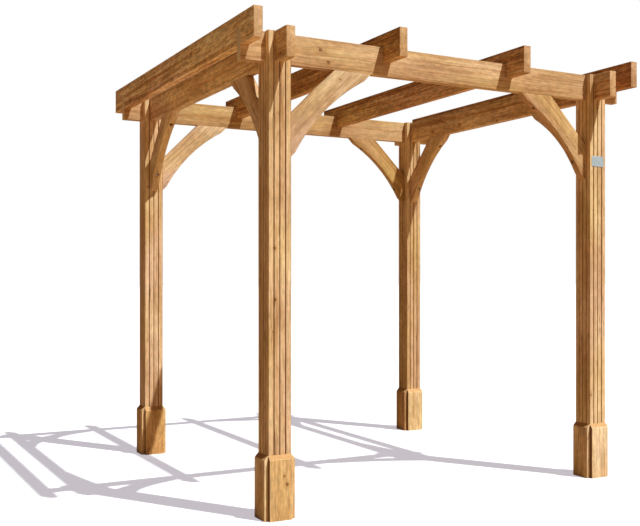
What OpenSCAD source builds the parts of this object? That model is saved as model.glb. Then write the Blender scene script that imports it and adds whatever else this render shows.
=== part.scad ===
// Open timber pergola: four grooved posts, four beams crossed at the post
// tops, four rafters lapped over the beams, and curved corner braces.
// The origin is on the ground at the middle of the bay. +X runs to the right
// along the front, +Y to the back and +Z up.

/* [Bay] */
// Distance between post centres along the front
bay_w = 2000; // [1700:50:3600]
// Distance between post centres from front to back
bay_d = 2000; // [1700:50:3600]
// How far beams and rafters run on past the post centres
overhang = 185; // [150:5:400]

/* [Posts] */
// Side of the square post
post_w = 120; // [90:5:150]
// Height of the posts, which is also the height of the beam tops
post_h = 2320; // [1900:10:2800]
// Number of grooves along each face of a post
groove_count = 3; // [1:1:4]
// Width of a groove where it opens on the face
groove_w = 6; // [3:0.5:9]
// Depth of a groove
groove_depth = 5; // [2:0.5:7]

/* [Beams] */
// Thickness of a beam
beam_t = 45; // [35:1:60]
// Height of a beam
beam_h = 145; // [120:5:200]

/* [Rafters] */
// Thickness of a rafter
rafter_t = 45; // [35:1:60]
// Height of a rafter
rafter_h = 145; // [120:5:200]
// How far a rafter is notched down over the front and back beams
rafter_lap = 75; // [40:2.5:90]

/* [Braces] */
// Thickness of a brace
brace_t = 45; // [35:1:60]
// Width of the board that a brace is sawn from
brace_w = 145; // [110:5:180]
// Distance from the corner of post and beam to the upper edge of a brace
brace_reach = 254; // [150:2:350]
// Depth of the curve sawn in the lower edge of a brace
brace_curve = 38; // [20:1:60]
// Straight stretch left at each end of the lower edge
brace_toe = 55; // [0:1:80]

/* [Base boards] */
// Height of the boards round the foot of a post
base_h = 310; // [200:10:450]
// Thickness of a base board
base_t = 20; // [15:1:30]
// Drop of the sloping top across the thickness of a base board
base_slope = 22; // [5:1:40]

/* [Plate] */
// Width of the blank metal plate on a post
plate_w = 90; // [50:5:100]
// Height of the plate
plate_h = 60; // [30:5:80]
// Thickness of the plate
plate_t = 2; // [1:0.5:4]
// Radius of the corners of the plate
plate_r = 10; // [3:1:14]
// Distance from the underside of the beams down to the middle of the plate
plate_drop = 355; // [60:5:600]

/* [Fit] */
// Clearance on each side of a timber in its slot or notch
fit = 0.5; // [0.2:0.1:1]

/* [Hidden] */

// Colours of the oiled softwood and of the plate
wood_post = "#d9a066";
wood_beam = "#d39a5e";
wood_rafter = "#dba56d";
wood_brace = "#c98f55";
wood_base = "#c78a50";
metal_plate = "#8f979c";

// Post centres
post_x = bay_w / 2;
post_y = bay_d / 2;

// Underside of the beams, and the level where two crossing beams halve together
beam_z = post_h - beam_h;
lap_z = beam_z + beam_h / 2;

// Lengths of the timbers along X and along Y
len_x = bay_w + 2 * overhang;
len_y = bay_d + 2 * overhang;

// Middle of the plate, below the beam end that runs on over the post's face
plate_z = beam_z - plate_drop;

// Width of the slots and notches that take a beam
slot_w = beam_t + 2 * fit;

// Rafters stand at equal distances, the outer two flush with the beam ends
rafter_count = 4;
rafter_edge = len_x / 2 - rafter_t / 2;
rafter_step = 2 * rafter_edge / (rafter_count - 1);
rafter_z = post_h - rafter_lap;

// Brace: where its straight lower edge would meet post and beam, the length of
// that edge, and the circle that hollows it
brace_foot = brace_reach + brace_w * sqrt(2);
brace_chord = brace_foot * sqrt(2) - 2 * brace_toe;
brace_r = (pow(brace_chord / 2, 2) + pow(brace_curve, 2)) / (2 * brace_curve);
brace_centre = brace_foot / sqrt(2) - brace_curve + brace_r;

// Each cut runs on past the face by this much
past = 1;

// A V groove up a post face, drawn at x = 0 on the face y = 0, into +Y
module groove() {
    proud = groove_w / 2 * (1 + past / groove_depth);
    translate([0, 0, -past])
        linear_extrude(post_h + 2 * past)
            polygon([[-proud, -past], [proud, -past], [0, groove_depth]]);
}

// A post with grooved faces and a cross slot in its top for the two beams
module post(side_x, side_y) {
    pitch = post_w / (groove_count + 1);
    color(wood_post)
        translate([side_x * post_x, side_y * post_y, 0])
            difference() {
                translate([-post_w / 2, -post_w / 2, 0])
                    cube([post_w, post_w, post_h]);
                translate([-slot_w / 2, -post_w, beam_z])
                    cube([slot_w, 2 * post_w, beam_h + past]);
                translate([-post_w, -slot_w / 2, beam_z])
                    cube([2 * post_w, slot_w, beam_h + past]);
                for (turn = [0 : 90 : 270], i = [1 : groove_count])
                    rotate([0, 0, turn])
                        translate([i * pitch - post_w / 2, -post_w / 2, 0])
                            groove();
            }
}

// One board on a post's foot: turn 0 is the front face, 90 the right,
// 180 the back and 270 the left
module base_board(side_x, side_y, turn) {
    color(wood_base)
        translate([side_x * post_x, side_y * post_y, 0])
            rotate([0, 0, turn])
                translate([-post_w / 2, -post_w / 2, 0])
                    rotate([90, 0, 90])
                        linear_extrude(post_w)
                            polygon([
                                [0, 0],
                                [-base_t, 0],
                                [-base_t, base_h - base_slope],
                                [0, base_h]
                            ]);
}

// A front or back beam, notched from above where the side beams cross it
module cross_beam(side_y) {
    color(wood_beam)
        translate([0, side_y * post_y, 0])
            difference() {
                translate([-len_x / 2, -beam_t / 2, beam_z])
                    cube([len_x, beam_t, beam_h]);
                for (side_x = [-1, 1])
                    translate([side_x * post_x - slot_w / 2, -beam_t, lap_z])
                        cube([slot_w, 2 * beam_t, beam_h]);
            }
}

// A left or right beam, notched from below where it sits down over the others
module side_beam(side_x) {
    color(wood_beam)
        translate([side_x * post_x, 0, 0])
            difference() {
                translate([-beam_t / 2, -len_y / 2, beam_z])
                    cube([beam_t, len_y, beam_h]);
                for (side_y = [-1, 1])
                    translate([-beam_t, side_y * post_y - slot_w / 2, lap_z - beam_h])
                        cube([2 * beam_t, slot_w, beam_h]);
            }
}

// A rafter, counted from the left, notched from below over both cross beams
module rafter(index) {
    color(wood_rafter)
        translate([index * rafter_step - rafter_edge, 0, 0])
            difference() {
                translate([-rafter_t / 2, -len_y / 2, rafter_z])
                    cube([rafter_t, len_y, rafter_h]);
                for (side_y = [-1, 1])
                    translate([-rafter_t, side_y * post_y - slot_w / 2, post_h - rafter_h])
                        cube([2 * rafter_t, slot_w, rafter_h]);
            }
}

// A curved brace under a beam: turn is the way it points from its post
module brace(side_x, side_y, turn) {
    color(wood_brace)
        translate([side_x * post_x, side_y * post_y, beam_z])
            rotate([0, 0, turn])
                translate([post_w / 2, brace_t / 2, 0])
                    rotate([90, 0, 0])
                        difference() {
                            linear_extrude(brace_t)
                                polygon([
                                    [brace_reach, 0],
                                    [brace_foot, 0],
                                    [0, -brace_foot],
                                    [0, -brace_reach]
                                ]);
                            rotate([0, 0, -45])
                                translate([brace_centre, 0, -past])
                                    cylinder(h = brace_t + 2 * past, r = brace_r, $fn = 180);
                        }
}

// The blank plate on the front of the right front post
module plate() {
    color(metal_plate)
        translate([post_x, -post_y - post_w / 2, plate_z])
            rotate([90, 0, 0])
                linear_extrude(plate_t)
                    union() {
                        square([plate_w - 2 * plate_r, plate_h], center = true);
                        square([plate_w, plate_h - 2 * plate_r], center = true);
                        for (x = [-1, 1], y = [-1, 1])
                            translate([x * (plate_w / 2 - plate_r), y * (plate_h / 2 - plate_r)])
                                circle(r = plate_r, $fn = 32);
                    }
}

post(-1, -1);  // post_front_left
post(1, -1);  // post_front_right
post(-1, 1);  // post_back_left
post(1, 1);  // post_back_right
base_board(-1, -1, 0);  // base_front_left_front
base_board(-1, -1, 90);  // base_front_left_right
base_board(-1, -1, 180);  // base_front_left_back
base_board(-1, -1, 270);  // base_front_left_left
base_board(1, -1, 0);  // base_front_right_front
base_board(1, -1, 90);  // base_front_right_right
base_board(1, -1, 180);  // base_front_right_back
base_board(1, -1, 270);  // base_front_right_left
base_board(-1, 1, 0);  // base_back_left_front
base_board(-1, 1, 90);  // base_back_left_right
base_board(-1, 1, 180);  // base_back_left_back
base_board(-1, 1, 270);  // base_back_left_left
base_board(1, 1, 0);  // base_back_right_front
base_board(1, 1, 90);  // base_back_right_right
base_board(1, 1, 180);  // base_back_right_back
base_board(1, 1, 270);  // base_back_right_left
cross_beam(-1);  // beam_front
cross_beam(1);  // beam_back
side_beam(-1);  // beam_left
side_beam(1);  // beam_right
rafter(0);  // rafter_left_outer
rafter(1);  // rafter_left_inner
rafter(2);  // rafter_right_inner
rafter(3);  // rafter_right_outer
brace(-1, -1, 0);  // brace_front_left
brace(1, -1, 180);  // brace_front_right
brace(-1, 1, 0);  // brace_back_left
brace(1, 1, 180);  // brace_back_right
brace(-1, -1, 90);  // brace_left_front
brace(-1, 1, 270);  // brace_left_back
brace(1, -1, 90);  // brace_right_front
brace(1, 1, 270);  // brace_right_back
plate();
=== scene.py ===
"""Timber pergola: every piece, its finish, the floor, the sun and the camera.

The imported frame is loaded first, and each visible piece is then shaped from
the box of the frame node that it stands for. Lengths are in metres.
"""

import math
import random

import bmesh
import bpy
from mathutils import Matrix, Vector


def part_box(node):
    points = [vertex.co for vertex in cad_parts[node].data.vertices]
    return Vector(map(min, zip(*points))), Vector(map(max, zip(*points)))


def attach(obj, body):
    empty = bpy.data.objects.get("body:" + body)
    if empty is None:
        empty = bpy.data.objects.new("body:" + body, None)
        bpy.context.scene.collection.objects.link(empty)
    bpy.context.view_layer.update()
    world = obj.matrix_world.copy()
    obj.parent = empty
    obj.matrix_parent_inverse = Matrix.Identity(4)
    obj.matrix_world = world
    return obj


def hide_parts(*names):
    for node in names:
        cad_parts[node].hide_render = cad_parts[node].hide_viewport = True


bl_info = {
    "name": "Timber pergola",
    "version": (1, 0, 0),
    "blender": (4, 5, 0),
    "location": "View3D > Sidebar > Pergola",
    "description": "Shapes and finishes the timbers of a garden pergola",
    "category": "Add Mesh",
}

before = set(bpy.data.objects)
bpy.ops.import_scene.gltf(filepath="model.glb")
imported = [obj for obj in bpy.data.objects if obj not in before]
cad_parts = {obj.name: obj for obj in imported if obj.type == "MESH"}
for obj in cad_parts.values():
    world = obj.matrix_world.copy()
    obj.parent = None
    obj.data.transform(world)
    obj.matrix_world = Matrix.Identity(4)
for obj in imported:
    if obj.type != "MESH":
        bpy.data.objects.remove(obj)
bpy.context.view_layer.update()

CORNERS = ("front_left", "front_right", "back_left", "back_right")
SIDES = ("front", "right", "back", "left")
RAFTERS = ("left_outer", "left_inner", "right_inner", "right_outer")
BRACES = (
    "front_left", "front_right", "back_left", "back_right",
    "left_front", "left_back", "right_front", "right_back",
)


def corners_of(node):
    """Lowest and highest corner of a frame node's box."""
    return [Vector(corner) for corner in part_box(node)]


FRONT_BEAM_LOW, FRONT_BEAM_HIGH = corners_of("beam_front")
POST_LOW, POST_HIGH = corners_of("post_front_left")
BRACE_LOW, BRACE_HIGH = corners_of("brace_front_left")
BEAM_T = FRONT_BEAM_HIGH.y - FRONT_BEAM_LOW.y
BEAM_H = FRONT_BEAM_HIGH.z - FRONT_BEAM_LOW.z
BEAM_Z = FRONT_BEAM_LOW.z
POST_W = POST_HIGH.x - POST_LOW.x
BAY_X = -(POST_HIGH.x + POST_LOW.x) / 2
BAY_Y = -(POST_HIGH.y + POST_LOW.y) / 2

# How dark grooves, screw holes and sawn edges are painted, from 0 to 1: painted shade
# in these recesses, partly gathered stain
GROOVE_SOAK_AND_SHADE, HOLE_SOAK_AND_SHADE, EDGE_PAINTED_SHADE = 0.75, 0.8, 0.85
# A post's face lies in a groove when it is between these depths
GROOVE_FROM, GROOVE_TO = 0.0009, 0.008

# The sun and the fill light: how wide each is in the sky, in degrees
SUN_WIDTH, FILL_WIDTH = 0.6, 50
# The floor: half its side, how far it lies below the feet, and its paint
FLOOR_HALF, FLOOR_DROP, FLOOR_PAINT = 120.0, 0.0005, (0.60, 0.60, 0.60, 1)


# ---------------------------------------------------------------- settings


def length_setting(name, description, default):
    """Setting for a length in metres."""
    return bpy.props.FloatProperty(
        name=name, description=description, default=default, unit="LENGTH")


def colour_setting(name, description, default):
    """Setting for a colour."""
    return bpy.props.FloatVectorProperty(
        name=name, description=description, subtype="COLOR", size=3,
        default=default, min=0, max=1)


class PergolaShapes(bpy.types.PropertyGroup):
    """Sizes that the frame's boxes don't give"""

    groove_count: bpy.props.IntProperty(
        name="Grooves", description="Grooves along each face of a post",
        default=3, min=0, max=4)
    groove_width: length_setting("Groove width", "Width of a groove at the face", 0.006)
    groove_depth: length_setting("Groove depth", "Depth of a groove", 0.005)
    fit: length_setting(
        "Fit", "Clearance on each side of a timber in its notch", 0.0005)
    post_arris: length_setting(
        "Post arris", "Rounding of the long corners of a post", 0.004)
    rail_arris: length_setting(
        "Rail arris", "Rounding of beam, rafter and brace edges", 0.0018)
    board_arris: length_setting("Board arris", "Rounding of the base boards", 0.003)
    groove_arris: length_setting(
        "Groove lip", "Rounding of the lips of a groove", 0.0008)
    brace_reach: length_setting(
        "Brace reach", "From the corner to the brace's upper edge", 0.254)
    brace_curve: length_setting(
        "Brace curve", "Depth of the curve under a brace", 0.038)
    brace_toe: length_setting(
        "Brace toe", "Straight stretch at each end of the curve", 0.055)
    hole_width: length_setting(
        "Screw hole", "Width of a counterbored screw hole", 0.021)
    hole_depth: length_setting(
        "Hole depth", "Depth of a counterbored screw hole", 0.012)
    hole_in: length_setting(
        "Hole in", "From a brace's foot end to its screw hole", 0.077)
    plate_corner: length_setting(
        "Plate corner", "Radius of the corners of the plate", 0.010)
    plate_arris: length_setting(
        "Plate arris", "Rounding of the front edge of the plate", 0.0006)
    base_slope: length_setting(
        "Base slope", "Drop of a base board's sloping top", 0.022)
    hole_from_tip: length_setting(
        "Hole from tip", "From a brace's tip back to its screw hole", 0.098)


class PergolaFinish(bpy.types.PropertyGroup):
    """Colours and grain of the timber and colours of the metal"""

    early_wood: colour_setting(
        "Early wood", "Light part of each growth ring", (0.86, 0.60, 0.33))
    late_wood: colour_setting(
        "Late wood", "Dark part of each growth ring", (0.54, 0.235, 0.062))
    streak_wood: colour_setting(
        "Streaks", "Darker streaks along the grain", (0.42, 0.150, 0.028))
    pale_wood: colour_setting(
        "Pale wood", "Lightest streaks, and rubbed edges with painted highlight", (0.97, 0.77, 0.51))
    soak_and_painted_shade_wood: colour_setting(
        "Soak and painted shade", "Painted shade and gathered stain in grooves, holes and sawn edges", (0.17, 0.055, 0.010))
    knot_wood: colour_setting("Knots", "Knots and checks", (0.14, 0.05, 0.018))
    ring_width: length_setting("Ring width", "Spacing of the growth rings", 0.0055)
    plate_colour: colour_setting(
        "Plate", "Colour of the brushed plate", (0.63, 0.78, 0.90))
    screw_colour: colour_setting(
        "Screws", "Colour of the brace screws", (0.88, 0.80, 0.64))


class PergolaStage(bpy.types.PropertyGroup):
    """Light, floor and camera"""

    sun_from: bpy.props.FloatVectorProperty(
        name="Sun from", description="Direction that the sunlight comes from",
        subtype="DIRECTION", size=3, default=(0.2957, -0.508, 1.0))
    sun_strength: bpy.props.FloatProperty(
        name="Sun strength", description="Strength of the sun", default=4.9)
    sun_colour: colour_setting(
        "Sun colour", "Colour of the sunlight", (0.92, 0.975, 0.97))
    sky_colour: colour_setting(
        "Sky light", "Soft light from above", (0.05, 0.035, 0.03))
    ground_colour: colour_setting(
        "Ground bounce", "Part of the light that the floor sends back",
        (0.458, 0.280, 0.158))
    shade_colour: colour_setting(
        "Shade", "Tone of a cast shadow on the floor", (0.505, 0.488, 0.535))
    fill_strength: bpy.props.FloatProperty(
        name="Fill", description="Strength of the weak light from the front",
        default=0.25, min=0)
    fill_from: bpy.props.FloatVectorProperty(
        name="Fill from", description="Direction that the weak light comes from",
        subtype="DIRECTION", size=3, default=(0.25, -1.0, 0.3))
    fill_colour: colour_setting(
        "Fill colour", "Colour of the weak light from the front", (1.0, 0.82, 0.62))
    camera_place: bpy.props.FloatVectorProperty(
        name="Camera", description="Where the camera stands",
        subtype="TRANSLATION", size=3, default=(-2.8928, -5.2793, 1.1493))
    camera_turn: bpy.props.FloatProperty(
        name="Camera turn", description="Heading of the camera, clockwise from +Y",
        subtype="ANGLE", default=math.radians(29.89))
    lens: bpy.props.FloatProperty(
        name="Lens", description="Focal length in millimetres", default=54.56)
    shift: bpy.props.FloatVectorProperty(
        name="Shift", description="Camera shift across and up",
        size=2, default=(-0.08926, 0.02304))


# ------------------------------------------------------------ shaping tools


def draw_face(bm, corners):
    """Adds one flat face with the given corners."""
    return bm.faces.new([bm.verts.new(corner) for corner in corners])


def pull(bm, faces, move):
    """Extrudes faces by a vector and returns the faces at the far end."""
    made = bmesh.ops.extrude_face_region(bm, geom=faces)["geom"]
    verts = [part for part in made if isinstance(part, bmesh.types.BMVert)]
    bmesh.ops.translate(bm, verts=verts, vec=move)
    return [part for part in made if isinstance(part, bmesh.types.BMFace)]


def round_edges(bm, edges, width, segments=3):
    """Rounds the given edges."""
    bmesh.ops.bevel(
        bm, geom=edges, offset=width, offset_type="OFFSET", affect="EDGES",
        segments=segments, profile=0.5, material=-1, clamp_overlap=True)


def outer_edges(bm, least=math.radians(35)):
    """Edges that stand out at a clear angle, never the ones in a notch."""
    return [e for e in bm.edges
            if len(e.link_faces) == 2 and e.calc_face_angle_signed() > least]


def close_up(bm):
    """Turns every face of a closed shape outwards."""
    bmesh.ops.recalc_face_normals(bm, faces=bm.faces[:])


def make_object(name, bm):
    """Puts the shape in an object at the origin of the scene."""
    mesh = bpy.data.meshes.new(name)
    bm.to_mesh(mesh)
    bm.free()
    mesh.polygons.foreach_set("use_smooth", [True] * len(mesh.polygons))
    mesh.set_sharp_from_angle(angle=math.radians(20))
    made = bpy.data.objects.new(name, mesh)
    bpy.context.scene.collection.objects.link(made)
    return made


def cut_away(piece, tool_bm):
    """Cuts the tool's shape out of a piece and throws the tool away."""
    tool = make_object("cutter", tool_bm)
    cut = piece.modifiers.new("cut", "BOOLEAN")
    cut.operation, cut.solver, cut.object = "DIFFERENCE", "EXACT", tool
    graph = bpy.context.evaluated_depsgraph_get()
    mesh = bpy.data.meshes.new_from_object(piece.evaluated_get(graph))
    mesh.name = piece.name
    piece.modifiers.remove(cut)
    old, piece.data = piece.data, mesh
    bpy.data.meshes.remove(old)
    old = tool.data
    bpy.data.objects.remove(tool)
    bpy.data.meshes.remove(old)
    mesh.polygons.foreach_set("use_smooth", [True] * len(mesh.polygons))
    mesh.set_sharp_from_angle(angle=math.radians(20))


# Tone of single timbers against their group, partly painted light and shade. Boards
# differ in a stack; some lighter values paint in bounced light that the stage doesn't
# have, and some darker values paint deeper shade, as on the inner rafters
TONES_WITH_PAINTED_LIGHT_AND_SHADE = {
    "lapped_rafter_left_outer": (1.16, 1.24, 1.32),
    "lapped_rafter_left_inner": (0.80, 0.67, 0.50),
    "lapped_rafter_right_inner": (0.88, 0.81, 0.69),
    "lapped_rafter_right_outer": (0.72, 0.56, 0.44),
    "grooved_post_back_right": (0.92, 0.88, 0.82),
    "grooved_post_front_right": (1.02, 1.02, 1.06),
    "curved_brace_back_left": (0.98, 1.03, 1.18),
    "curved_brace_back_right": (0.78, 0.72, 0.52),
    "curved_brace_front_left": (0.97, 1.01, 1.12),
    "curved_brace_front_right": (0.88, 0.83, 0.73),
    "curved_brace_left_back": (1.10, 1.18, 1.28),
    "curved_brace_left_front": (0.96, 1.00, 0.98),
    "notched_beam_back": (0.92, 0.93, 0.90),
    "notched_beam_front": (1.00, 1.03, 1.08),
    "notched_beam_left": (0.96, 1.00, 1.14),
    "notched_beam_right": (1.06, 1.10, 1.08),
    "base_board_back_left_front": (0.97, 0.86, 0.72),
    "base_board_back_right_front": (1.08, 1.20, 1.34),
    "base_board_back_right_left": (0.82, 0.75, 0.60),
    "base_board_front_left_front": (0.95, 0.96, 0.87),
    "base_board_front_left_left": (1.18, 1.34, 1.70),
    "base_board_front_right_front": (1.08, 1.22, 1.34),
    "base_board_front_right_left": (1.18, 1.34, 1.70),
}

# Single knots that stand out: distance along and across the timber from its
# middle, and radius
OWN_KNOTS = {
    "notched_beam_front": ((-0.766, 0.017, 0.0070), (-0.722, -0.038, 0.0060)),
    "lapped_rafter_left_outer": ((0.835, -0.045, 0.014), (-0.33, 0.02, 0.006)),
    "grooved_post_front_left": ((-0.115, -0.024, 0.0055), (0.129, -0.026, 0.0045)),
    "base_board_front_left_front": ((0.015, 0.03, 0.006), (0.055, 0.016, 0.004)),
    "notched_beam_right": ((0.3, -0.03, 0.008), (-0.52, 0.035, 0.007)),
}
# Far off and tiny, for a timber with no knots of its own
NO_KNOTS = ((9, 9, 0.001),) * 2
# A face is a sawn end when it faces along the timber by more than this
END_FACING = 0.6


def lay_grain(piece, centre, along, across, half, heart=(0.0, 0.0), lean=0.012,
              soaked=None):
    """Stores how the piece was sawn from the log, for its finish to follow.

    place is each point in the timber's own directions from its centre, half
    is the timber's half size, grain is place moved to the log's heart and
    leant a little, seed tells timbers apart, end marks the sawn ends, the
    stored tone is partly the timber's own tone and partly painted light and
    shade, and knot_one and knot_two are its own knots. The soak value, from 0
    to 1 for a face, is how dark the face is painted: painted shade in grooves,
    holes and notch edges, partly gathered stain.
    """
    draw = random.Random(piece.name)
    along, across = Vector(along).normalized(), Vector(across).normalized()
    through = along.cross(across)
    shift = draw.uniform(0, 30)
    heart_across = heart[0] + draw.uniform(-0.3, 0.3) * half[1]
    heart_through = heart[1] * draw.choice((-1, 1)) * draw.uniform(0.8, 1.3)
    lean_across, lean_through = (draw.uniform(-lean, lean) for _ in range(2))
    seed = draw.uniform(0, 50)
    place, grain = [], []
    for vertex in piece.data.vertices:
        off = vertex.co - Vector(centre)
        a, w, t = off.dot(along), off.dot(across), off.dot(through)
        place += (a, w, t)
        grain += (a + shift, w + heart_across + a * lean_across,
                  t + heart_through + a * lean_through)
    count = len(piece.data.vertices)
    # The timber's own tone, partly painted light and shade
    stain = TONES_WITH_PAINTED_LIGHT_AND_SHADE.get(piece.name) or [draw.uniform(0.96, 1.04)] * 3
    knots = OWN_KNOTS.get(piece.name, NO_KNOTS)

    def store(name, kind, domain, values):
        field = "vector" if kind == "FLOAT_VECTOR" else "value"
        made = piece.data.attributes.new(name, kind, domain)
        made.data.foreach_set(field, values)

    store("place", "FLOAT_VECTOR", "POINT", place)
    store("grain", "FLOAT_VECTOR", "POINT", grain)
    store("half", "FLOAT_VECTOR", "POINT", list(half) * count)
    store("seed", "FLOAT", "POINT", [seed] * count)
    for name, value in (("stain", stain), ("knot_one", knots[0]),
                        ("knot_two", knots[1])):
        store(name, "FLOAT_VECTOR", "POINT", list(value) * count)
    faces = piece.data.polygons
    store("end", "FLOAT", "FACE",
          [1.0 if abs(face.normal.dot(along)) > END_FACING else 0.0 for face in faces])
    store("soaked", "FLOAT", "FACE",
          [soaked(face.center, face.normal) if soaked else 0.0 for face in faces])


def hand_over(piece, material, slot, *nodes):
    """Gives a piece its finish and its place in the frame."""
    piece.data.materials.clear()
    piece.data.materials.append(material)
    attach(piece, "root")
    if nodes:
        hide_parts(*nodes)


# ------------------------------------------------------------ node tools


class Flow:
    """An output in a node tree; sums on it add Math nodes."""

    def __init__(self, tree, socket):
        self.tree, self.socket = tree, socket

    def sum(self, operation, *others):
        node = self.tree.nodes.new("ShaderNodeMath")
        node.operation = operation
        for port, value in zip(node.inputs, (self, *others)):
            plug(self.tree, port, value)
        return Flow(self.tree, node.outputs[0])

    def __add__(self, other):
        return self.sum("ADD", other)

    def __sub__(self, other):
        return self.sum("SUBTRACT", other)

    def __mul__(self, other):
        return self.sum("MULTIPLY", other)

    def __truediv__(self, other):
        return self.sum("DIVIDE", other)

    def steps(self, low, high, to_low=0.0, to_high=1.0):
        """Maps low..high smoothly to to_low..to_high."""
        return add(self.tree, "ShaderNodeMapRange",
                   {"interpolation_type": "SMOOTHSTEP"}, self, low, high,
                   to_low, to_high)


def plug(tree, port, value):
    """Joins an output to an input, or sets the input's own value."""
    if isinstance(value, Flow):
        tree.links.new(value.socket, port)
    elif value is not None:
        port.default_value = value


def add(tree, kind, settings=None, *values, out=0, **named):
    """Adds a node, fills its inputs in order or by name; returns an output."""
    node = tree.nodes.new(kind)
    for key, value in (settings or {}).items():
        setattr(node, key, value)
    for port, value in zip(node.inputs, values):
        plug(tree, port, value)
    for key, value in named.items():
        plug(tree, node.inputs[key.replace("_", " ")], value)
    return Flow(tree, node.outputs[out])


def vector_sum(tree, operation, a, b=None, out=0):
    """Adds a Vector Math node."""
    return add(tree, "ShaderNodeVectorMath", {"operation": operation}, a, b, out=out)


def split(tree, vector):
    """Splits a vector into its three parts."""
    node = tree.nodes.new("ShaderNodeSeparateXYZ")
    plug(tree, node.inputs[0], vector)
    return [Flow(tree, port) for port in node.outputs]


def set_bump(tree, shader, height, strength, distance):
    """Bends the shader's normal by a height."""
    bump = tree.nodes.new("ShaderNodeBump")
    bump.inputs["Strength"].default_value = strength
    bump.inputs["Distance"].default_value = distance
    plug(tree, bump.inputs["Height"], height)
    plug(tree, shader.inputs["Normal"], Flow(tree, bump.outputs[0]))


def noise(tree, place, detail=2.0, roughness=0.5, out="Fac"):
    """Adds a noise whose scale is already in its coordinates."""
    node = tree.nodes.new("ShaderNodeTexNoise")
    plug(tree, node.inputs["Vector"], place)
    node.inputs["Scale"].default_value = 1.0
    node.inputs["Detail"].default_value = detail
    node.inputs["Roughness"].default_value = roughness
    return Flow(tree, node.outputs[out])


def blend(tree, factor, a, b, way="MIX"):
    """Mixes two colours."""
    node = tree.nodes.new("ShaderNodeMix")
    node.data_type, node.blend_type = "RGBA", way
    plug(tree, node.inputs[0], factor)
    for port, value in ((node.inputs[6], a), (node.inputs[7], b)):
        plug(tree, port, value if isinstance(value, Flow) else (*value, 1.0))
    return Flow(tree, node.outputs[2])


def new_group(name, inputs, outputs):
    """Starts a node group; returns it, its inputs and a function to finish it."""
    group = bpy.data.node_groups.new(name, "ShaderNodeTree")
    for label, kind, start in inputs:
        socket = group.interface.new_socket(
            name=label, in_out="INPUT", socket_type="NodeSocket" + kind)
        if start is not None:
            socket.default_value = start
    for label in outputs:
        group.interface.new_socket(
            name=label, in_out="OUTPUT", socket_type="NodeSocketFloat")
    source = group.nodes.new("NodeGroupInput")
    sink = group.nodes.new("NodeGroupOutput")
    given = {label: Flow(group, source.outputs[label]) for label, _, _ in inputs}

    def finish(**results):
        for label, flow in results.items():
            plug(group, sink.inputs[label], flow)
        return group

    return group, given, finish


def place_group(tree, group, **values):
    """Puts a node group in a material and returns its outputs by name."""
    node = tree.nodes.new("ShaderNodeGroup")
    node.node_tree = group
    for key, value in values.items():
        plug(tree, node.inputs[key.replace("_", " ")], value)
    return {port.name: Flow(tree, port) for port in node.outputs}


def attribute(tree, name, out="Vector"):
    """Reads one of a timber's own stored values."""
    node = tree.nodes.new("ShaderNodeAttribute")
    node.attribute_name = name
    return Flow(tree, node.outputs[out])


# ------------------------------------------------------------ shared effects


def own_knot(tree, place, knot):
    """Distance from a timber's own knot, counted in the knot's radii."""
    along, across, _ = split(tree, vector_sum(tree, "SUBTRACT", place, knot))
    radius = split(tree, knot)[2]
    return (along * along * 0.5 + across * across).sum("SQRT") / radius


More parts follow.
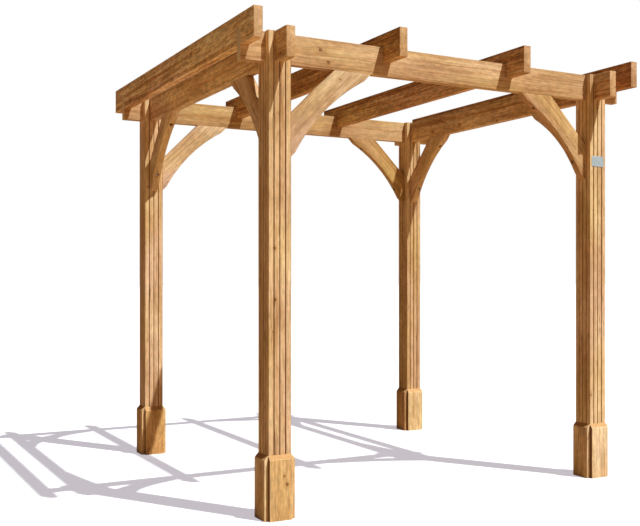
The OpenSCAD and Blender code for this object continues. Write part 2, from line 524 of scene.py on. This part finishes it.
def timber_figure():
    """Growth rings, streaks, fibres, knots and checks of sawn softwood."""
    name = "Timber figure"
    if name in bpy.data.node_groups:
        return bpy.data.node_groups[name]
    tree, given, finish = new_group(
        name,
        (("Grain", "Vector", None), ("Place", "Vector", None), ("Seed", "Float", 0.0),
         ("Knot One", "Vector", None), ("Knot Two", "Vector", None),
         ("Ring Width", "Float", 0.0075), ("Sway", "Float", 0.035),
         ("Knot Size", "Float", 0.012)),
        ("Rings", "Streaks", "Pale", "Fibres", "Mottle", "Clouds", "Hue", "Knots",
         "Halo", "Checks"))
    grain = given["Grain"]

    def stretched(place, along, across, detail, roughness=0.55):
        return noise(tree, vector_sum(tree, "MULTIPLY", place, (along, across, across)),
                     detail, roughness)

    # The log sways a little, so rings wander along the timber
    slow = vector_sum(tree, "MULTIPLY", grain, (1.5, 7.0, 7.0))
    wander = noise(tree, slow, 3.0, 0.5, "Color")
    wander = vector_sum(tree, "SUBTRACT", wander, (0.5, 0.5, 0.5))
    scaled = add(tree, "ShaderNodeVectorMath", {"operation": "SCALE"},
                 wander, Scale=given["Sway"])
    swayed = vector_sum(tree, "ADD", grain, scaled)

    # Knots: one possible knot in each long cell of the timber, and its own two
    cell = (0.36, 0.12, 0.12)
    cells = tree.nodes.new("ShaderNodeTexVoronoi")
    cells.inputs["Scale"].default_value = 1.0
    plug(tree, cells.inputs["Vector"],
         vector_sum(tree, "DIVIDE", grain, cell))
    middle = vector_sum(
        tree, "MULTIPLY", Flow(tree, cells.outputs["Position"]), cell)
    off = vector_sum(tree, "SUBTRACT", grain, middle)
    off = vector_sum(tree, "MULTIPLY", off, (0.75, 1.0, 0.4))
    away = vector_sum(tree, "LENGTH", off, out=1)
    luck = add(tree, "ShaderNodeSeparateColor", None,
               Flow(tree, cells.outputs["Color"]))
    chance = away / (luck.steps(0.5, 1.0) * given["Knot Size"] + 0.0001)
    own = own_knot(tree, given["Place"], given["Knot One"]).sum(
        "MINIMUM", own_knot(tree, given["Place"], given["Knot Two"]))
    ragged = noise(
        tree, vector_sum(tree, "MULTIPLY", grain, (110.0, 170.0, 170.0)), 3.0)
    ratio = chance.sum("MINIMUM", own) + (ragged - 0.5) * 1.3
    rim = ratio.steps(0.1, 0.9, 0.62, 1.0)
    knots = ratio.steps(0.7, 1.3, 1.0, 0.0) * rim
    halo = (chance.steps(0.8, 4.5, 1.0, 0.0) * luck.steps(0.52, 0.75)).sum(
        "MAXIMUM", own.steps(0.8, 4.0, 1.0, 0.0))
    halo = halo * ragged.steps(0.25, 0.6, 0.7, 1.0)

    # Growth rings round the heart of the log, bent round the knots
    _, across, through = split(tree, swayed)
    radius = (across * across + through * through).sum("SQRT")
    radius = radius + halo * 0.012
    phase = radius / given["Ring Width"]
    pair = add(tree, "ShaderNodeCombineXYZ", None, phase * 0.31, given["Seed"])
    phase = phase + noise(tree, pair, 2.0) * 2.4
    part = phase.sum("FRACT")
    year = add(tree, "ShaderNodeCombineXYZ", None, phase.sum("FLOOR"), given["Seed"])
    luck_year = add(tree, "ShaderNodeTexWhiteNoise", None, year)
    rings = part.steps(0.25, 0.88) * part.steps(0.93, 1.0, 1.0, 0.0)
    rings = rings * (luck_year * 0.75 + 0.25)

    # Streaks and fibres run with the grain at several widths
    broad = stretched(swayed, 0.5, 34.0, 2.0, 0.6)
    narrow = stretched(swayed, 1.3, 120.0, 2.0, 0.6)
    mixed = broad * 0.6 + narrow * 0.4
    streaks = mixed.steps(0.49, 0.63)
    pale = mixed.steps(0.36, 0.49, 1.0, 0.0)
    fibres = stretched(swayed, 6.0, 620.0, 2.0, 0.6)
    mottle = stretched(grain, 22.0, 55.0, 3.0, 0.65)
    clouds = stretched(grain, 2.6, 9.0, 3.0)
    hue = stretched(vector_sum(tree, "ADD", grain, (7.3, 1.9, 4.1)), 1.2, 4.0, 1.0)

    # Drying checks: short hairlines along the grain
    crack = (stretched(swayed, 1.4, 55.0, 1.0) - 0.5).sum("ABSOLUTE")
    checks = (crack.steps(0.002, 0.010, 1.0, 0.0)
              * stretched(grain, 2.2, 9.0, 1.0).steps(0.54, 0.62))
    return finish(Rings=rings, Streaks=streaks, Pale=pale, Fibres=fibres,
                  Mottle=mottle, Clouds=clouds, Hue=hue, Knots=knots, Halo=halo,
                  Checks=checks)


def arris_wear_and_highlight():
    """Mask of the long edges of a timber, broken up as handling leaves them: wear, and
    painted highlight where edges catch the light.
    """
    name = "Arris wear"
    if name in bpy.data.node_groups:
        return bpy.data.node_groups[name]
    tree, given, finish = new_group(
        name,
        (("Place", "Vector", None), ("Half", "Vector", None),
         ("Width", "Float", 0.006)),
        ("Worn",))
    place = vector_sum(tree, "ABSOLUTE", given["Place"])
    inside = vector_sum(tree, "SUBTRACT", given["Half"], place)
    _, across, through = split(tree, inside)
    edge = across.sum("MAXIMUM", through)
    patchy = noise(tree, vector_sum(
        tree, "MULTIPLY", given["Place"], (14.0, 60.0, 60.0)), 3.0)
    reach = (patchy - 0.25) * given["Width"] * 2.0
    worn_and_lit = (edge / reach.sum("MAXIMUM", 0.0005)).steps(0.3, 1.0, 1.0, 0.0)
    return finish(Worn=worn_and_lit)


def grey(tree, value):
    """Makes a colour with the value in all three channels."""
    return add(tree, "ShaderNodeCombineColor", None, value, value, value)


def timber_finish(name, finish, tint, knot_size=0.010, depth=1.0,
                  end_tone=(0.55, 0.26, 0.085), end_mix=0.5):
    """Material of one group of timbers: planed softwood, stained and sealed.

    depth is the strength of its figure, end_tone the colour that its sawn ends
    take up, and end_mix how far they take it up; on the cross beams they paint
    light on ends in shade, and on the base boards shade on the sunlit tops.
    """
    if name in bpy.data.materials:
        return bpy.data.materials[name]
    material = bpy.data.materials.new(name)
    material.use_nodes = True
    tree = material.node_tree
    shader = tree.nodes["Principled BSDF"]
    place, end = attribute(tree, "place"), attribute(tree, "end", "Fac")
    figure = place_group(
        tree, timber_figure(), Grain=attribute(tree, "grain"), Place=place,
        Seed=attribute(tree, "seed", "Fac"), Knot_One=attribute(tree, "knot_one"),
        Knot_Two=attribute(tree, "knot_two"),
        Ring_Width=finish.ring_width, Knot_Size=knot_size)
    worn_and_lit = place_group(tree, arris_wear_and_highlight(), Place=place,
                       Half=attribute(tree, "half"))["Worn"]

    colour = blend(tree, figure["Rings"] * (0.42 * depth), finish.early_wood,
                   finish.late_wood)
    colour = blend(tree, figure["Streaks"] * (0.4 * depth), colour, finish.streak_wood)
    colour = blend(tree, figure["Pale"] * (0.33 * depth), colour, finish.pale_wood)
    colour = blend(tree, 1.0, colour,
                   add(tree, "ShaderNodeCombineColor", None,
                       *[figure["Clouds"].steps(0.3, 0.7, low, high) for low, high in
                         ((0.81, 1.09), (0.74, 1.13), (0.65, 1.17))]),
                   "MULTIPLY")
    colour = blend(tree, 1.0, colour,
                   add(tree, "ShaderNodeCombineColor", None, 1.0,
                       figure["Hue"].steps(0.35, 0.65, 0.975, 1.015),
                       figure["Hue"].steps(0.35, 0.65, 1.09, 0.88)),
                   "MULTIPLY")
    fleck = (figure["Fibres"].steps(0.3, 0.7, 1 - 0.18 * depth, 1 + 0.15 * depth)
             * figure["Mottle"].steps(0.36, 0.64, 1 - 0.12 * depth, 1 + 0.12 * depth))
    colour = blend(tree, 1.0, colour, grey(tree, fleck), "MULTIPLY")
    colour = blend(tree, figure["Halo"] * 0.4, colour, finish.late_wood)
    colour = blend(tree, figure["Knots"] * 0.92, colour, finish.knot_wood)
    colour = blend(tree, figure["Checks"] * 0.7, colour, finish.knot_wood)
    colour = blend(tree, end * end_mix, colour, end_tone)
    # Lighter long edges: partly wear, partly painted highlight
    colour = blend(tree, worn_and_lit * 0.35, colour, finish.pale_wood)
    # Each timber's own tone, partly painted light and shade, kept mostly off the sawn
    # ends
    colour = blend(tree, end * -0.8 + 1.0, colour, attribute(tree, "stain"), "MULTIPLY")
    # Painted shade in grooves, screw holes and notch edges, partly gathered stain
    colour = blend(tree, attribute(tree, "soaked", "Fac"), colour, finish.soak_and_painted_shade_wood)
    colour = blend(tree, 1.0, colour, tint, "MULTIPLY")
    plug(tree, shader.inputs["Base Color"], colour)
    rough = figure["Fibres"].steps(0.3, 0.7, 0.52, 0.70) - figure["Rings"] * 0.08
    plug(tree, shader.inputs["Roughness"], rough + worn_and_lit * 0.05)
    shader.inputs["Specular IOR Level"].default_value = 0.25

    height = (figure["Fibres"] * 0.5 + figure["Rings"] * 0.35
              - figure["Streaks"] * 0.25 - figure["Checks"] * 1.2
              - figure["Knots"] * 0.3)
    set_bump(tree, shader, height, strength=0.7, distance=0.0012)
    return material


def metal_finish(name, colour, roughness, metallic, lines):
    """Material of the plate and the screws: metal with fine brushing."""
    if name in bpy.data.materials:
        return bpy.data.materials[name]
    material = bpy.data.materials.new(name)
    material.use_nodes = True
    tree = material.node_tree
    shader = tree.nodes["Principled BSDF"]
    coordinates = tree.nodes.new("ShaderNodeTexCoord")
    place = Flow(tree, coordinates.outputs["Object"])
    brushed = noise(tree, vector_sum(tree, "MULTIPLY", place, lines), 3.0, 0.6)
    smudge = noise(tree, vector_sum(tree, "MULTIPLY", place, (30.0,) * 3), 3.0)
    dull = tuple(c * 0.72 for c in colour)
    tone = blend(tree, (brushed * 0.6 + smudge * 0.4).steps(0.35, 0.65), dull, colour)
    plug(tree, shader.inputs["Base Color"], tone)
    plug(tree, shader.inputs["Roughness"],
         brushed.steps(0.3, 0.7, roughness - 0.08, roughness + 0.1) + smudge * 0.08)
    shader.inputs["Metallic"].default_value = metallic
    set_bump(tree, shader, brushed, strength=0.25, distance=0.0003)
    return material


# ------------------------------------------------------------ the shapes


def post_shape(shapes, low, high):
    """A post with grooved faces and a cross slot in its top."""
    bm = bmesh.new()
    half, count = POST_W / 2, shapes.groove_count
    pitch = POST_W / (count + 1)
    profile = [bm.verts.new((-half, -half, 0))]
    for index in range(1, count + 1):
        middle = index * pitch - half
        for x, depth in ((-shapes.groove_width / 2, 0), (0, shapes.groove_depth),
                         (shapes.groove_width / 2, 0)):
            profile.append(bm.verts.new((middle + x, depth - half, 0)))
    profile.append(bm.verts.new((half, -half, 0)))
    side = [bm.edges.new(pair) for pair in zip(profile, profile[1:])]
    bmesh.ops.spin(
        bm, geom=profile + side, cent=(0, 0, 0), axis=(0, 0, 1),
        angle=math.radians(270), steps=3, use_duplicate=True)
    bmesh.ops.remove_doubles(bm, verts=bm.verts[:], dist=1e-5)
    bmesh.ops.contextual_create(bm, geom=bm.edges[:])
    pull(bm, bm.faces[:], (0, 0, BEAM_Z))
    slot = BEAM_T / 2 + shapes.fit
    for normal in ((1, 0, 0), (0, 1, 0)):
        for side in (-slot, slot):
            near = [f for f in bm.faces if f.calc_center_median().z > BEAM_Z - 1e-4]
            edges = {e for f in near for e in f.edges}
            verts = {v for f in near for v in f.verts}
            bmesh.ops.bisect_plane(
                bm, geom=list(verts) + list(edges) + near, dist=1e-6,
                plane_co=Vector(normal) * side, plane_no=normal)

    def on_horn(face):
        centre = face.calc_center_median()
        return centre.z > BEAM_Z - 1e-4 and min(abs(centre.x), abs(centre.y)) > slot

    pull(bm, [f for f in bm.faces if on_horn(f)], (0, 0, high.z - BEAM_Z))
    close_up(bm)

    corners = [e for e in bm.edges
               if all(abs(abs(v.co.x) - half) < 1e-5 and abs(abs(v.co.y) - half) < 1e-5
                      for v in e.verts)]
    round_edges(bm, corners, shapes.post_arris)
    lips = [e for e in outer_edges(bm)
            if abs(e.verts[0].co.z - e.verts[1].co.z) > 0.1
            and max(abs(e.verts[0].co.x), abs(e.verts[0].co.y)) > half - 1e-4
            and min(abs(e.verts[0].co.x), abs(e.verts[0].co.y)) < half - 0.01]
    round_edges(bm, lips, shapes.groove_arris, 2)
    bmesh.ops.translate(
        bm, verts=bm.verts[:],
        vec=((low.x + high.x) / 2, (low.y + high.y) / 2, low.z))
    return bm


def rail_shape(shapes, low, high, axis, notches, notch_z, from_below):
    """A beam or rafter along X (axis 0) or Y (axis 1), notched at its crossings."""
    bm = bmesh.new()
    reach = BEAM_T / 2 + shapes.fit
    start, stop = low[axis], high[axis]
    full, cut = (low.z, notch_z) if from_below else (high.z, notch_z)
    other = high.z if from_below else low.z
    corners = [(start, other), (start, full)]
    for middle in notches:
        corners += [(middle - reach, full), (middle - reach, cut),
                    (middle + reach, cut), (middle + reach, full)]
    corners += [(stop, full), (stop, other)]
    across = 1 - axis

    def spot(place, z):
        point = Vector((0, 0, z))
        point[axis], point[across] = place, low[across]
        return point

    draw_face(bm, [spot(*corner) for corner in corners])
    thick = Vector()
    thick[across] = high[across] - low[across]
    pull(bm, bm.faces[:], thick)
    close_up(bm)
    round_edges(bm, outer_edges(bm), shapes.rail_arris)
    return bm


def brace_shape(shapes, thickness, foot):
    """A curved brace from the corner at the origin, along +X and down -Z."""
    bm = bmesh.new()
    reach, toe, curve = shapes.brace_reach, shapes.brace_toe, shapes.brace_curve
    chord = foot * math.sqrt(2) - 2 * toe
    radius = (chord ** 2 / 4 + curve ** 2) / (2 * curve)
    centre = (foot / math.sqrt(2) - curve + radius) / math.sqrt(2)
    side = -thickness / 2
    step = toe / math.sqrt(2)
    first = bm.verts.new((foot - step, side, -step))
    bmesh.ops.spin(
        bm, geom=[first], cent=(centre, side, -centre), axis=(0, 1, 0),
        angle=-2 * math.asin(chord / 2 / radius), steps=26)
    arc_edges = bm.edges[:]
    last = max(bm.verts, key=lambda v: (v.co - first.co).length)
    ring = [last] + [bm.verts.new((x, side, z)) for x, z in
                     ((0, -foot), (0, -reach), (reach, 0), (foot, 0))] + [first]
    edges = [bm.edges.new(pair) for pair in zip(ring, ring[1:])]
    bmesh.ops.contextual_create(bm, geom=arc_edges + edges)
    pull(bm, bm.faces[:], (0, thickness, 0))
    close_up(bm)
    round_edges(bm, outer_edges(bm, math.radians(60)), shapes.rail_arris)
    return bm


def hole_frames(shapes, foot):
    """Where the two screw holes open under a brace, and which way they go in."""
    deep = foot - shapes.hole_from_tip
    return (
        Matrix.Translation((shapes.hole_in, 0, -deep))
        @ Matrix.Rotation(-math.pi / 2, 4, "Y"),
        Matrix.Translation((deep, 0, -shapes.hole_in)),
    )


# ------------------------------------------------------------ operators


class PERGOLA_OT_posts(bpy.types.Operator):
    """Shape the four grooved posts"""

    bl_idname = "pergola.posts"
    bl_label = "Posts"

    def execute(self, context):
        scene = context.scene
        finish = scene.pergola_finish
        material = timber_finish("Post timber", finish, tint=(1.0, 0.99, 0.98),
                                 knot_size=0.006, depth=0.8)
        for corner in CORNERS:
            low, high = corners_of("post_" + corner)
            post = make_object("grooved_post_" + corner,
                               post_shape(scene.pergola_shapes, low, high))
            middle = (low + high) / 2
            lay_grain(post, middle, (0, 0, 1), (1, 0, 0),
                      ((high.z - low.z) / 2, POST_W / 2, POST_W / 2),
                      heart=(0.0, 0.035), lean=0.01,
                      soaked=lambda spot, normal: groove_soak_and_shade(spot - middle, normal))
            hand_over(post, material, "post_wood", "post_" + corner)
        return {"FINISHED"}


def groove_soak_and_shade(off, normal):
    """How dark a post's face is painted, from its middle's place on the post: grooves
    get painted shade.
    """
    depth = POST_W / 2 - max(abs(off.x), abs(off.y))
    in_groove = GROOVE_FROM < depth < GROOVE_TO and abs(normal.z) < 0.5
    return GROOVE_SOAK_AND_SHADE if in_groove else 0.0


class PERGOLA_OT_base_boards(bpy.types.Operator):
    """Shape the sloping boards round the foot of each post"""

    bl_idname = "pergola.base_boards"
    bl_label = "Base boards"

    def execute(self, context):
        scene = context.scene
        shapes = scene.pergola_shapes
        # The strong end mix darkens the sloping tops: partly end grain, partly painted
        # shade that keeps the sunlit tops from looking brighter than the faces
        material = timber_finish(
            "Base board timber", scene.pergola_finish, tint=(0.96, 0.91, 0.80),
            knot_size=0.006, end_tone=(0.56, 0.29, 0.10), end_mix=0.8)
        for corner in CORNERS:
            post_low, post_high = corners_of("post_" + corner)
            middle = (post_low + post_high) / 2
            for turn, side in enumerate(SIDES):
                node = "base_{}_{}".format(corner, side)
                low, high = corners_of(node)
                size = high - low
                thick, tall = min(size.x, size.y), size.z
                bm = bmesh.new()
                face = -POST_W / 2
                draw_face(bm, [
                    (face, face, 0), (face, face - thick, 0),
                    (face, face - thick, tall - shapes.base_slope), (face, face, tall)])
                pull(bm, bm.faces[:], (POST_W, 0, 0))
                close_up(bm)
                shown = [e for e in outer_edges(bm, math.radians(20))
                         if min(v.co.y for v in e.verts) < face - 0.001
                         and max(v.co.z for v in e.verts) > 0.001]
                round_edges(bm, shown, shapes.board_arris)
                spin = Matrix.Rotation(turn * math.pi / 2, 4, "Z")
                bmesh.ops.transform(
                    bm, verts=bm.verts[:],
                    matrix=Matrix.Translation((middle.x, middle.y, 0)) @ spin)
                board = make_object("base_board_{}_{}".format(corner, side), bm)
                across = spin @ Vector((1, 0, 0))
                # The front and back boards' sawn side edges get painted shade, where
                # the notch at each corner lies in shade
                lay_grain(board, (low + high) / 2, (0, 0, 1), across,
                          (tall / 2, POST_W / 2, thick / 2),
                          heart=(0.0, 0.06), lean=0.05,
                          soaked=lambda spot, normal: (
                              EDGE_PAINTED_SHADE if turn % 2 == 0
                              and abs(normal.dot(across)) > 0.9 else 0.0))
                hand_over(board, material, "base_wood", node)
        return {"FINISHED"}


class PERGOLA_OT_beams(bpy.types.Operator):
    """Shape the four beams that halve together over the posts"""

    bl_idname = "pergola.beams"
    bl_label = "Beams"

    def execute(self, context):
        scene = context.scene
        # The cross beams' sawn ends lie in shade and get a light tone: painted light
        cross = timber_finish(
            "Cross beam timber", scene.pergola_finish, tint=(0.84, 0.77, 0.64),
            knot_size=0.008, end_tone=(1.0, 0.84, 0.60), end_mix=0.9)
        side_wood = timber_finish(
            "Side beam timber", scene.pergola_finish, tint=(0.88, 0.81, 0.69),
            knot_size=0.009, depth=1.7, end_tone=(0.78, 0.50, 0.27))
        half_way = BEAM_Z + BEAM_H / 2
        for side in SIDES:
            node = "beam_" + side
            low, high = corners_of(node)
            axis = 0 if side in ("front", "back") else 1
            middle = BAY_X if axis == 0 else BAY_Y
            beam = make_object(
                "notched_beam_" + side,
                rail_shape(scene.pergola_shapes, low, high, axis,
                           (-middle, middle), half_way, axis == 1))
            lay_rail(beam, low, high, axis)
            hand_over(beam, side_wood if axis else cross, "beam_wood", node)
        return {"FINISHED"}


def lay_rail(piece, low, high, axis):
    """Lays the grain of a beam or rafter along its length."""
    along = Vector((1, 0, 0) if axis == 0 else (0, 1, 0))
    size = high - low
    lay_grain(piece, (low + high) / 2, along, (0, 0, 1),
              (size[axis] / 2, size.z / 2, size[1 - axis] / 2),
              heart=(0.0, 0.055), lean=0.014)


class PERGOLA_OT_rafters(bpy.types.Operator):
    """Shape the rafters that lap over the front and back beams"""

    bl_idname = "pergola.rafters"
    bl_label = "Rafters"

    def execute(self, context):
        scene = context.scene
        material = timber_finish(
            "Rafter timber", scene.pergola_finish, tint=(1.03, 0.99, 0.94),
            knot_size=0.009, depth=2.0, end_tone=(0.55, 0.33, 0.17), end_mix=0.6)
        for name in RAFTERS:
            low, high = corners_of("rafter_" + name)
            rafter = make_object(
                "lapped_rafter_" + name,
                rail_shape(scene.pergola_shapes, low, high, 1,
                           (-BAY_Y, BAY_Y), FRONT_BEAM_HIGH.z, True))
            lay_rail(rafter, low, high, 1)
            hand_over(rafter, material, "rafter_wood", "rafter_" + name)
        return {"FINISHED"}


class PERGOLA_OT_braces(bpy.types.Operator):
    """Shape the curved braces, drill them and set their screws"""

    bl_idname = "pergola.braces"
    bl_label = "Braces"

    def execute(self, context):
        scene = context.scene
        shapes, finish = scene.pergola_shapes, scene.pergola_finish
        material = timber_finish(
            "Brace timber", finish, tint=(0.88, 0.83, 0.80), knot_size=0.006)
        steel = metal_finish("Screw steel", finish.screw_colour, roughness=0.38,
                             metallic=0.25, lines=(900.0, 900.0, 900.0))
        foot = BRACE_HIGH.z - BRACE_LOW.z
        thickness = BRACE_HIGH.y - BRACE_LOW.y
        for name in BRACES:
            node = "brace_" + name
            first, second = name.split("_")
            along_x = first in ("front", "back")
            if along_x:
                post_x, post_y = (-BAY_X if second == "left" else BAY_X,
                                  -BAY_Y if first == "front" else BAY_Y)
                turn = 0.0 if second == "left" else math.pi
            else:
                post_x, post_y = (-BAY_X if first == "left" else BAY_X,
                                  -BAY_Y if second == "front" else BAY_Y)
                turn = math.pi / 2 if second == "front" else -math.pi / 2
            seat = (Matrix.Translation((post_x, post_y, BEAM_Z))
                    @ Matrix.Rotation(turn, 4, "Z")
                    @ Matrix.Translation((POST_W / 2, 0, 0)))
            bm = brace_shape(shapes, thickness, foot)
            bmesh.ops.transform(bm, verts=bm.verts[:], matrix=seat)
            brace = make_object("curved_brace_" + name, bm)
            holes, screws = bmesh.new(), bmesh.new()
            spots = [seat @ spot for spot in hole_frames(shapes, foot)]
            for spot in spots:
                drill(holes, spot, shapes)
                set_screw(screws, spot, shapes)
            cut_away(brace, holes)
            turned = seat.to_3x3()
            board = shapes.brace_reach + (foot - shapes.brace_reach) / 2
            middle = seat @ Vector((board / 2, 0, -board / 2))
            lay_grain(brace, middle, turned @ Vector((1, 0, 1)),
                      turned @ Vector((1, 0, -1)),
                      (foot / math.sqrt(2),
                       (foot - shapes.brace_reach) / math.sqrt(2) / 2,
                       thickness / 2),
                      heart=(0.0, 0.05), lean=0.02,
                      soaked=lambda spot, normal: hole_soak_and_shade(
                          spots, shapes.hole_width / 2, spot, normal))
            hand_over(brace, material, "brace_wood", node)
            screws = make_object("brace_screws_" + name, screws)
            hand_over(screws, steel, "plate_metal")
        return {"FINISHED"}


def hole_soak_and_shade(spots, radius, place, normal):
    """How dark a brace's face is painted: the walls and the floor of its holes get
    painted shade.
    """
    for spot in spots:
        off = spot.inverted() @ place
        straight = abs(normal.dot(spot.to_3x3() @ Vector((0, 0, 1))))
        if math.hypot(off.x, off.y) < radius * 1.02 and not 0.1 < straight < 0.95:
            return HOLE_SOAK_AND_SHADE
    return 0.0


def drill(bm, spot, shapes):
    """Adds the drill's path: a rod that runs in from below along +Z of the spot."""
    radius, length = shapes.hole_width / 2, 0.2
    bmesh.ops.create_cone(
        bm, cap_ends=True, segments=24, radius1=radius, radius2=radius, depth=length,
        matrix=spot @ Matrix.Translation((0, 0, shapes.hole_depth - length / 2)))


def set_screw(bm, spot, shapes):
    """Adds a round-headed screw at the bottom of its hole."""
    radius, rise, recess = shapes.hole_width * 0.40, 0.0026, 0.0019
    profile = ((radius * 0.98, 0.0), (radius, -0.0007), (radius * 0.86, -rise * 0.72),
               (radius * 0.5, -rise), (radius * 0.34, -rise),
               (radius * 0.26, -rise + recess), (0.0, -rise + recess))
    old = set(bm.verts)
    verts = [bm.verts.new((x, 0, z)) for x, z in profile]
    edges = [bm.edges.new(pair) for pair in zip(verts, verts[1:])]
    bmesh.ops.spin(
        bm, geom=verts + edges, cent=(0, 0, 0), axis=(0, 0, 1),
        angle=2 * math.pi, steps=24, use_merge=True)
    bmesh.ops.remove_doubles(
        bm, verts=[v for v in bm.verts if v not in old], dist=1e-6)
    bmesh.ops.contextual_create(
        bm, geom=[e for e in bm.edges if len(e.link_faces) == 1])
    close_up(bm)
    bmesh.ops.transform(
        bm, verts=[v for v in bm.verts if v not in old],
        matrix=spot @ Matrix.Translation((0, 0, shapes.hole_depth + 0.0002)))


class PERGOLA_OT_plate(bpy.types.Operator):
    """Shape the small blank plate on the right front post"""

    bl_idname = "pergola.plate"
    bl_label = "Plate"

    def execute(self, context):
        scene = context.scene
        shapes = scene.pergola_shapes
        low, high = corners_of("plate")
        size = high - low
        bm = bmesh.new()
        bmesh.ops.create_grid(bm, x_segments=1, y_segments=1, size=0.5)
        bmesh.ops.scale(bm, verts=bm.verts[:], vec=(size.x, size.z, 1))
        bmesh.ops.bevel(
            bm, geom=bm.verts[:], offset=shapes.plate_corner, offset_type="OFFSET",
            affect="VERTICES", segments=8, profile=0.5, material=-1)
        pull(bm, bm.faces[:], (0, 0, size.y))
        close_up(bm)
        rim = [e for e in bm.edges if all(v.co.z > size.y - 1e-5 for v in e.verts)]
        round_edges(bm, rim, shapes.plate_arris, 2)
        bmesh.ops.transform(
            bm, verts=bm.verts[:],
            matrix=Matrix.Translation(
                ((low.x + high.x) / 2, high.y, (low.z + high.z) / 2))
            @ Matrix.Rotation(math.pi / 2, 4, "X"))
        plate = make_object("blank_plate", bm)
        steel = metal_finish("Brushed plate", scene.pergola_finish.plate_colour,
                             roughness=0.42, metallic=0.3,
                             lines=(60.0, 60.0, 1500.0))
        hand_over(plate, steel, "plate_metal", "plate")
        return {"FINISHED"}


class PERGOLA_OT_stage(bpy.types.Operator):
    """Set the camera, the sun, the soft light and the floor"""

    bl_idname = "pergola.stage"
    bl_label = "Stage"

    def execute(self, context):
        scene = context.scene
        stage = scene.pergola_stage
        scene.view_settings.view_transform = "Standard"

        camera = bpy.data.objects.new("camera", bpy.data.cameras.new("camera"))
        camera.data.sensor_width = 36.0
        camera.data.lens = stage.lens
        camera.data.shift_x, camera.data.shift_y = stage.shift
        camera.location = stage.camera_place
        camera.rotation_euler = (math.pi / 2, 0, -stage.camera_turn)
        scene.collection.objects.link(camera)
        scene.camera = camera

        add_sun(scene, "sun", stage.sun_strength, SUN_WIDTH, stage.sun_colour,
                stage.sun_from)
        add_sun(scene, "fill", stage.fill_strength, FILL_WIDTH, stage.fill_colour,
                stage.fill_from)

        bm = bmesh.new()
        bmesh.ops.create_grid(bm, x_segments=1, y_segments=1, size=FLOOR_HALF)
        bmesh.ops.translate(bm, verts=bm.verts[:], vec=(0, 0, -FLOOR_DROP))
        floor = make_object("floor", bm)
        floor.data.materials.append(floor_finish(stage))
        light_sky(scene, stage)
        return {"FINISHED"}


def add_sun(scene, name, strength, width, colour, source):
    """Adds a sun that shines from a direction."""
    sun = bpy.data.objects.new(name, bpy.data.lights.new(name, "SUN"))
    sun.data.energy, sun.data.color = strength, colour
    sun.data.angle = math.radians(width)
    sun.rotation_euler = Vector(source).to_track_quat("Z", "Y").to_euler()
    scene.collection.objects.link(sun)


def floor_finish(stage):
    """White and light grey floor to the camera, which lights the timber warmly.

    The light that it sends back is chosen by itself, and doesn't follow from the
    paint that the camera sees.
    """
    material = bpy.data.materials.new("Pale floor")
    material.use_nodes = True
    tree = material.node_tree
    tree.nodes.clear()
    output = tree.nodes.new("ShaderNodeOutputMaterial")
    path = tree.nodes.new("ShaderNodeLightPath")
    lit = tree.nodes.new("ShaderNodeBsdfDiffuse")
    lit.inputs["Color"].default_value = FLOOR_PAINT
    glow = tree.nodes.new("ShaderNodeEmission")
    glow.inputs["Color"].default_value = tuple(stage.shade_colour) + (1,)
    seen = tree.nodes.new("ShaderNodeAddShader")
    tree.links.new(lit.outputs[0], seen.inputs[0])
    tree.links.new(glow.outputs[0], seen.inputs[1])
    unseen = tree.nodes.new("ShaderNodeBsdfDiffuse")
    unseen.inputs["Color"].default_value = tuple(stage.ground_colour) + (1,)
    choose = tree.nodes.new("ShaderNodeMixShader")
    tree.links.new(path.outputs["Is Camera Ray"], choose.inputs[0])
    tree.links.new(unseen.outputs[0], choose.inputs[1])
    tree.links.new(seen.outputs[0], choose.inputs[2])
    tree.links.new(choose.outputs[0], output.inputs["Surface"])
    return material


def light_sky(scene, stage):
    """White behind the object to the camera, and a weak warm light from all round."""
    world = bpy.data.worlds.new("sky")
    world.use_nodes = True
    scene.world = world
    tree = world.node_tree
    background = tree.nodes["Background"]
    path = tree.nodes.new("ShaderNodeLightPath")
    tone = blend(tree, Flow(tree, path.outputs["Is Camera Ray"]),
                 stage.sky_colour, (1.0, 1.0, 1.0))
    plug(tree, background.inputs["Color"], tone)


class PERGOLA_PT_panel(bpy.types.Panel):
    """Pergola pieces and settings"""

    bl_label = "Pergola"
    bl_idname = "PERGOLA_PT_panel"
    bl_space_type = "VIEW_3D"
    bl_region_type = "UI"
    bl_category = "Pergola"

    def draw(self, context):
        for operator in OPERATORS:
            self.layout.operator(operator.bl_idname)
        for group in ("pergola_shapes", "pergola_finish", "pergola_stage"):
            settings = getattr(context.scene, group)
            box = self.layout.box()
            for name in settings.__annotations__:
                box.prop(settings, name)


OPERATORS = (
    PERGOLA_OT_stage, PERGOLA_OT_posts, PERGOLA_OT_base_boards, PERGOLA_OT_beams,
    PERGOLA_OT_rafters, PERGOLA_OT_braces, PERGOLA_OT_plate,
)
GROUPS = (
    ("pergola_shapes", PergolaShapes),
    ("pergola_finish", PergolaFinish),
    ("pergola_stage", PergolaStage),
)


def register():
    for name, group in GROUPS:
        bpy.utils.register_class(group)
        setattr(bpy.types.Scene, name, bpy.props.PointerProperty(type=group))
    for kind in (*OPERATORS, PERGOLA_PT_panel):
        bpy.utils.register_class(kind)


def unregister():
    for kind in (PERGOLA_PT_panel, *reversed(OPERATORS)):
        bpy.utils.unregister_class(kind)
    for name, group in reversed(GROUPS):
        delattr(bpy.types.Scene, name)
        bpy.utils.unregister_class(group)


def main():
    register()
    bpy.ops.pergola.stage()
    bpy.ops.pergola.posts()
    bpy.ops.pergola.base_boards()
    bpy.ops.pergola.beams()
    bpy.ops.pergola.rafters()
    bpy.ops.pergola.braces()
    bpy.ops.pergola.plate()


if __name__ == "__main__":
    main()
